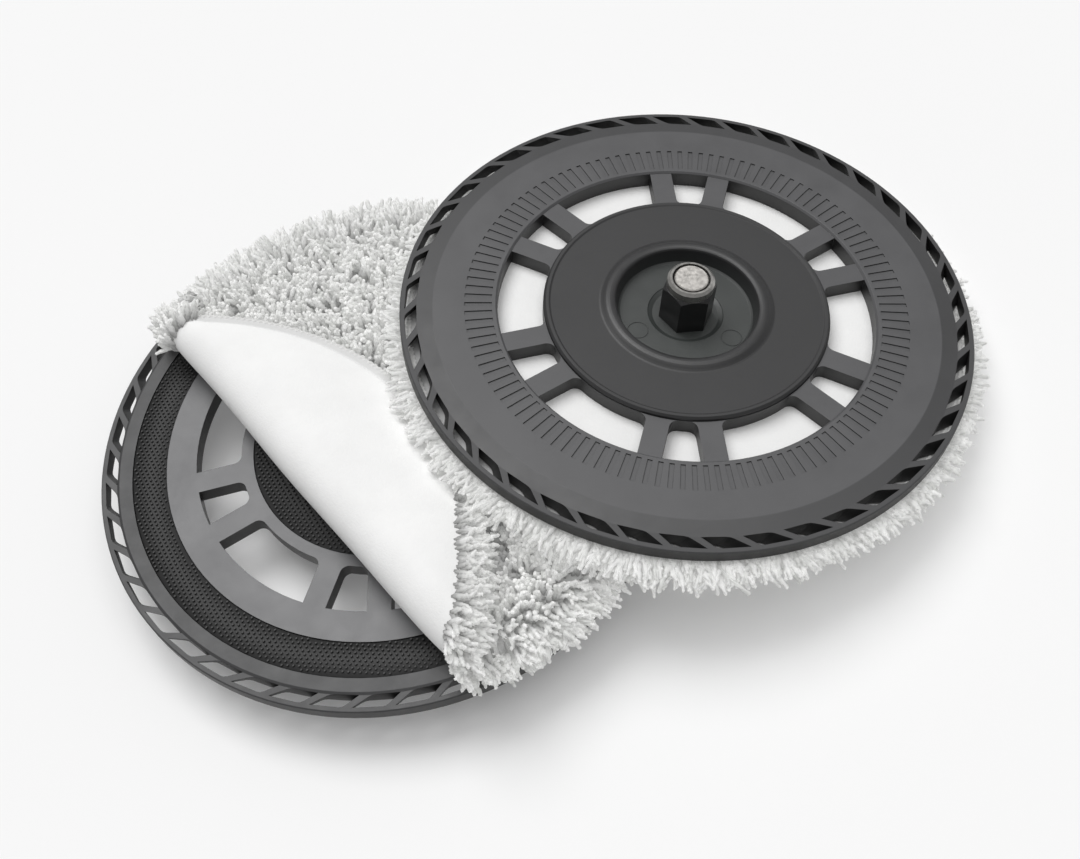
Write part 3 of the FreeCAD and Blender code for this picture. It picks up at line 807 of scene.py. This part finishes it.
def wrapped_shag(rng):
    """The same for the tufts that wrap round the pad's edge onto its hook side."""
    flat = scatter(BIND_R + 0.5 * MM, PITCH * 0.95, rng)
    wrapped = edge_wrap(np.arctan2(flat[:, 1], flat[:, 0]))
    near_rim = (np.hypot(flat[:, 0], flat[:, 1]) > wrapped) & (wrapped < BIND_R - 1 * MM)
    flat = flat[(flat[:, 0] > FOLD_AT - 8 * MM) & near_rim]
    reach = np.hypot(flat[:, 0], flat[:, 1])
    lie = flat / reach[:, None] * 1.5 + rng.normal(0, 0.38, flat.shape)
    lie[:, 0] += np.where(flat[:, 1] < 0, 0.7, 0.0)
    rise = -np.clip(0.62 - 10 * (reach - BIND_R + 10 * MM), 0.2, 1.0) + rng.normal(0, 0.18, len(flat))
    lift = cloth_lift(flat[:, 0], flat[:, 1]) + BACKING_T / 2 - ROOT_DEPTH
    roots, aims = on_pad(flat, unit(np.concatenate([lie, rise[:, None]], -1)), lift)
    return roots, aims, rng.uniform(0.75, 1.1, len(flat)) * STRAND_LONG * 0.9, flat[:, 0]


def peeled_pile():
    """Pile of the fold and of the turned-over flap, with the tufts that wrap round the pad's edge."""
    rng = np.random.default_rng(SEED + 1)
    both_sides = zip(flap_shag(rng), wrapped_shag(rng))
    roots, aims, lengths, pad_x = (np.concatenate(pair) for pair in both_sides)

    def keep_clear(points):
        over_pad = (np.hypot(points[..., 0], points[..., 1]) < BIND_R) & (fold_out(points) < FOLD_AT)
        under_flap = (PAD_TOP + flap_mid(points) - BACKING_T / 2) / 2
        floor = np.where(over_pad, under_flap, PLATE_T + STUD_TOP) + STRAND_W / 2
        under_upper = np.linalg.norm(to_upper(points)[..., :2], axis=-1) < BIND_R
        roof = np.where(under_upper, upper_under(points) - STRAND_W / 2, OPEN_SKY)
        points[..., 2] = squeezed(points[..., 2], floor, roof)
        return points

    roll = pad_x < ROLL_END
    fold_pile = strands("fold_pile", roots[roll], aims[roll], lengths[roll], rng, keep_clear)
    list(blend_span())
    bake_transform(fold_pile)
    flap_tufts = strands("flap_tufts", roots[~roll], aims[~roll], lengths[~roll], rng, keep_clear)
    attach(flap_tufts, "lower_flap")
    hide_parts("flap_pile")


def rim_reach(flat):
    """How far the upper pad's fringe reaches, in strand lengths: farthest where the pad is pressed on the
    flap, least on the side away from it."""
    angle = np.arctan2(flat[:, 1], flat[:, 0])
    turn = np.degrees(angle) % 360
    pressed = np.clip((turn - 150) / 35, 0, 1) * np.clip((285 - turn) / 35, 0, 1)
    return 1.2 - 0.35 * np.sin(angle) + 0.25 * pressed


def upper_pile():
    """Pile of the upper pad, sparser where nothing but its own plate is above it, with a fringe past the rim.
    The fringe is longest where the pad is pressed on the flap."""
    rng = np.random.default_rng(SEED + 2)
    hidden_r = 97 * MM
    inner, outer = scatter(hidden_r, HIDDEN_PITCH, rng), scatter(BIND_R + 0.5 * MM, PITCH, rng)
    flat = np.concatenate([inner, outer[np.hypot(*outer.T) > hidden_r]])
    lean, edge = shag(flat, rng, splay=3.4, soft=13 * MM)
    roots = np.concatenate([flat, np.full((len(flat), 1), BACK_UNDER + 0.3 * MM)], -1)
    lengths = rng.uniform(0.85, 1.12, len(flat)) * STRAND_LONG * (1 + edge * (rim_reach(flat) - 1) * 0.8)
    rim, rim_lean = fringe(rng)
    layer = rng.uniform(BACK_UNDER + 0.3 * MM, BACK_UNDER + 1.8 * MM, (len(rim), 1))
    roots = np.concatenate([roots, np.concatenate([rim, layer], -1)])
    lean = np.concatenate([lean, rim_lean])
    rim_lengths = rng.uniform(0.8, 1.15, len(rim)) * STRAND_LONG * rim_reach(rim)
    lengths = np.concatenate([lengths, rim_lengths])

    def keep_clear(points):
        own = to_upper(points)
        below_plate = np.linalg.norm(own[..., :2], axis=-1) < DISC_R + 1.2 * MM
        own[..., 2] = np.minimum(own[..., 2], BACK_UNDER + np.where(below_plate, 1.2 * MM, 2.4 * MM))
        points = from_upper(own)
        floor = upper_floor(points) + STRAND_W / 2
        points[..., 2] = np.maximum(points[..., 2], floor)
        return points

    aims = (lean * np.array([1, 1, -1])) @ UPPER_TURN.T
    piece = strands("upper_pile", from_upper(roots), aims, lengths, rng, keep_clear)
    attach(piece, "upper_pad")
    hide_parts("upper_pad_pile")


# ---- backing cloth -------------------------------------------------------------------------
def closed_sheet(name, top, bottom, rows, cols, closed):
    """A sheet with thickness from two matching grids of points, joined round their edges."""
    verts = np.concatenate([top.reshape(-1, 3), bottom.reshape(-1, 3)])
    faces = grid_faces(rows, cols, closed)
    count = rows * cols
    parts = [faces, faces[:, ::-1] + count]
    if closed:
        borders = [np.arange(cols), (rows - 1) * cols + np.arange(cols)]
    else:
        ids = np.arange(count).reshape(rows, cols)
        borders = [np.concatenate([ids[0, :-1], ids[:-1, -1], ids[-1, :0:-1], ids[:0:-1, 0]])]
    for k, loop in enumerate(borders):
        nxt = np.roll(loop, -1)
        wall = np.stack([nxt, loop, loop + count, nxt + count], -1)
        parts.append(wall if k == 0 else wall[:, ::-1])
    return new_object(name, verts, np.concatenate(parts))


def upper_backing():
    """The upper pad's cloth, pillowing slightly up into the driver's openings."""
    rows, cols = 80, 144
    r = np.linspace(0.5 * MM, BACKING_R, rows)[:, None]
    a = np.linspace(0, 2 * np.pi, cols, endpoint=False)[None, :]
    x, y = r * np.cos(a), r * np.sin(a)
    puff = np.exp(-((r - 67 * MM) / (6 * MM)) ** 2) * 0.15 * MM
    ripple = 0.06 * MM * np.sin(x * 210) * np.sin(y * 260 + 1.0)
    top = np.stack([x, y, BACK_UNDER + BACKING_T + np.minimum(puff + ripple, 0.16 * MM)], -1)
    bottom = np.stack([x, y, np.full_like(x, BACK_UNDER)], -1)
    piece = closed_sheet("upper_backing", from_upper(top), from_upper(bottom), rows, cols, True)
    give_values(piece, "edge", np.tile((BACKING_R - r + 0 * x).ravel(), 2) / MM)
    # painted shade darkens the cloth under the driver's rim slots
    piece.data.materials.append(PAINTED_RIM_SHADE_CLOTH)
    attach(piece, "upper_pad")
    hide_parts("upper_pad_backing")


def lower_backing():
    """The part of the lower pad's cloth that is still hooked to its driver."""
    rows, cols = 40, 60
    x = np.linspace(-BACKING_R + 0.05 * MM, FOLD_AT, rows)[:, None]
    v = np.linspace(-1, 1, cols)[None, :]
    y = v * np.sqrt(np.maximum(BACKING_R ** 2 - x ** 2, 0))
    top = pad_point(x, y, -BACKING_T / 2)
    bottom = pad_point(x, y, BACKING_T / 2)
    piece = closed_sheet("lower_backing", top, bottom, rows, cols, False)
    piece.data.materials.append(CLOTH)
    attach(piece, "lower_pad")
    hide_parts("lower_pad_backing")


def cloth_lift(x, y):
    """How far the peeled cloth stands off its plain rolled shape: a drooping edge and soft swells."""
    edge = BACKING_R - np.hypot(x, y)
    settle = np.clip((x - FOLD_AT) / ROLL_LENGTH, 0, 1)
    droop = -4.2 * MM * np.exp(-(np.maximum(edge, 0) / (9 * MM)) ** 1.5)
    swell = 1.1 * MM * np.sin(y * 34 + 0.6) * np.sin(x * 41 + 0.3)
    swell = swell + 0.7 * MM * np.sin(y * 71 - 1.0) * np.cos(x * 57)
    return settle * (droop + swell * np.clip(edge / (15 * MM), 0, 1))


def blend_span():
    """From the foot of the roll to its top, square to the flap."""
    normal = from_fold(-math.sin(FLAP_SLOPE), 0.0, math.cos(FLAP_SLOPE))
    start = from_fold(FOLD_AT, 0.0, FOLD_Z - FOLD_R + 1.5 * MM)
    return tuple(start), tuple(start + normal * (2 * FOLD_R - 4 * MM))


def flap_cloth():
    """The peeled part of the lower pad's cloth: the soft roll and the flap, with a stitched hem."""
    rows, cols = 110, 110
    u = np.linspace(0, 1, rows)[:, None]
    x = FOLD_AT + (BACKING_R - FOLD_AT) * np.sin(u * math.pi / 2) ** 0.9
    v = np.sin(np.linspace(-1, 1, cols)[None, :] * math.pi / 2)
    y = v * np.sqrt(np.maximum(BACKING_R ** 2 - x ** 2, (0.4 * MM) ** 2))
    x = x + 0 * v
    edge = BACKING_R - np.hypot(x, y)
    channel = -0.6 * MM * np.exp(-((edge - 3.0 * MM) / (0.7 * MM)) ** 2)
    lift = cloth_lift(x, y)
    top = pad_point(x, y, BACKING_T / 2 + lift + channel)
    bottom = pad_point(x, y, -BACKING_T / 2 + lift)
    piece = closed_sheet("flap_cloth", top, bottom, rows, cols, False)
    give_values(piece, "edge", np.tile(edge.ravel(), 2) / MM)
    piece.data.materials.append(HEMMED)
    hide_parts("flap_backing")
    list(blend_span())
    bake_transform(piece)


# ---- overlocked edges ----------------------------------------------------------------------
STITCH = 2.3 * MM
EDGING_HALF = (1.25 * MM, 1.55 * MM)


def edging(name, angles, place, closed=False):
    """A cord of overlock stitches round a pad's edge. place maps pad x, y and lift to the row's frame."""
    sides = 8
    angles = np.asarray(angles)[:, None]
    theta = np.linspace(0, 2 * np.pi, sides, endpoint=False)[None, :]
    wrap = np.cos((angles * BACKING_R / STITCH) * 2 * np.pi + theta)
    swell = 1 + 0.16 * wrap
    r = BACKING_R + EDGING_HALF[0] * 0.45 + EDGING_HALF[0] * np.cos(theta) * swell
    lift = EDGING_HALF[1] * np.sin(theta) * swell
    x, y = r * np.cos(angles), r * np.sin(angles)
    verts = place(x, y, lift).reshape(-1, 3)
    rows = len(angles)
    faces = grid_faces(rows, sides, True)
    if closed:
        j = np.arange(sides)
        k = (j + 1) % sides
        seam = (rows - 1) * sides
        faces = np.concatenate([faces, np.stack([seam + j, seam + k, k, j], -1)])
    piece = new_object(name, verts, faces)
    piece.data.materials.append(EDGING)
    return piece


def edgings():
    fold_angle = math.acos(FOLD_AT / BACKING_R)
    count = 1400

    def on_upper(x, y, lift):
        return from_upper(np.stack([x, y, BACK_UNDER + BACKING_T / 2 + lift], -1))

    def on_peeled(x, y, lift):
        return pad_point(x, y, lift + cloth_lift(x, y))

    upper = edging("upper_edging", np.linspace(0, 2 * np.pi, count, endpoint=False), on_upper, closed=True)
    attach(upper, "upper_pad")
    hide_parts("upper_pad_binding")
    lower = edging("lower_edging", np.linspace(fold_angle, 2 * np.pi - fold_angle, count), pad_point)
    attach(lower, "lower_pad")
    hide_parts("lower_pad_binding")
    peeled = edging("flap_edging", np.linspace(-fold_angle, fold_angle, count // 2), on_peeled)
    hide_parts("flap_binding")
    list(blend_span())
    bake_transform(peeled)


# ---- stage ---------------------------------------------------------------------------------
WORLD_LIGHT = 0.30      # on the object
WORLD_SEEN = 0.92       # past the floor's edge, straight to the camera
FLOOR_HALF = 6.0
FLOOR_SHADES = [(0.3, 0.78), (0.7, 0.79)]
FLOOR_GLOW = 0.13
BACK_BOX = {"azimuth": 118, "elevation": 60, "spread": 38, "strength": 1.55}
TOP_BOX = {"azimuth": 20, "elevation": 78, "spread": 50, "strength": 0.95}
CAMERA_AT = Vector((69.7, -297.6, 481.8)) * MM
CAMERA_TURN = (("Z", 1.5), ("X", 32.28), ("Z", -10.2))      # degrees: about its base, down, about its view
CAMERA_LENS = 45.66


def white_floor():
    corners = [(-1, -1, 0), (1, -1, 0), (1, 1, 0), (-1, 1, 0)]
    floor = new_object("floor", np.array(corners) * FLOOR_HALF, np.array([[0, 1, 2, 3]]))
    made = Material("floor_white", Roughness=0.85)
    made.link(made.ramp(made.noise(3.0, 2.0), FLOOR_SHADES), made.shader.inputs["Base Color"])
    made.shader.inputs["Emission Color"].default_value = (1, 1, 1, 1)
    made.shader.inputs["Emission Strength"].default_value = FLOOR_GLOW
    floor.data.materials.append(made.material)


def studio_world():
    """White all round, and brighter to the camera than on the object."""
    world = bpy.data.worlds.new("studio")
    world.use_nodes = True
    nodes = world.node_tree.nodes
    backdrop = nodes["Background"].inputs
    backdrop["Color"].default_value = (1, 1, 1, 1)
    seen = nodes.new("ShaderNodeMapRange")
    seen.inputs["To Min"].default_value = WORLD_LIGHT
    seen.inputs["To Max"].default_value = WORLD_SEEN
    direct = nodes.new("ShaderNodeLightPath").outputs["Is Camera Ray"]
    world.node_tree.links.new(direct, seen.inputs["Value"])
    world.node_tree.links.new(seen.outputs["Result"], backdrop["Strength"])
    bpy.context.scene.world = world


def softbox(name, azimuth, elevation, spread, strength):
    """An even, far-off square of light. Angles in degrees, strength in watts a square metre."""
    a, e = math.radians(azimuth), math.radians(elevation)
    away = Vector((math.cos(a) * math.cos(e), math.sin(a) * math.cos(e), math.sin(e)))
    light = bpy.data.lights.new(name, "SUN")
    light.angle = math.radians(spread)
    light.energy = strength
    lamp = bpy.data.objects.new(name, light)
    lamp.location = away
    lamp.rotation_mode = "QUATERNION"
    lamp.rotation_quaternion = (-away).to_track_quat("-Z", "Y")
    bpy.context.scene.collection.objects.link(lamp)


def camera():
    data = bpy.data.cameras.new("camera")
    data.lens = CAMERA_LENS
    data.sensor_width = 36.0
    eye = bpy.data.objects.new("camera", data)
    place = Matrix.Translation(CAMERA_AT)
    for axis, degrees in CAMERA_TURN:
        place = place @ Matrix.Rotation(math.radians(degrees), 4, axis)
    eye.matrix_world = place
    bpy.context.scene.collection.objects.link(eye)
    bpy.context.scene.camera = eye
    bpy.context.scene.view_settings.view_transform = "Standard"


finish_cad_nodes()
hook_tapes()
upper_backing()
lower_backing()
flap_cloth()
edgings()
lower_pile()
peeled_pile()
upper_pile()
white_floor()
studio_world()
softbox("back_softbox", **BACK_BOX)
softbox("top_softbox", **TOP_BOX)
camera()
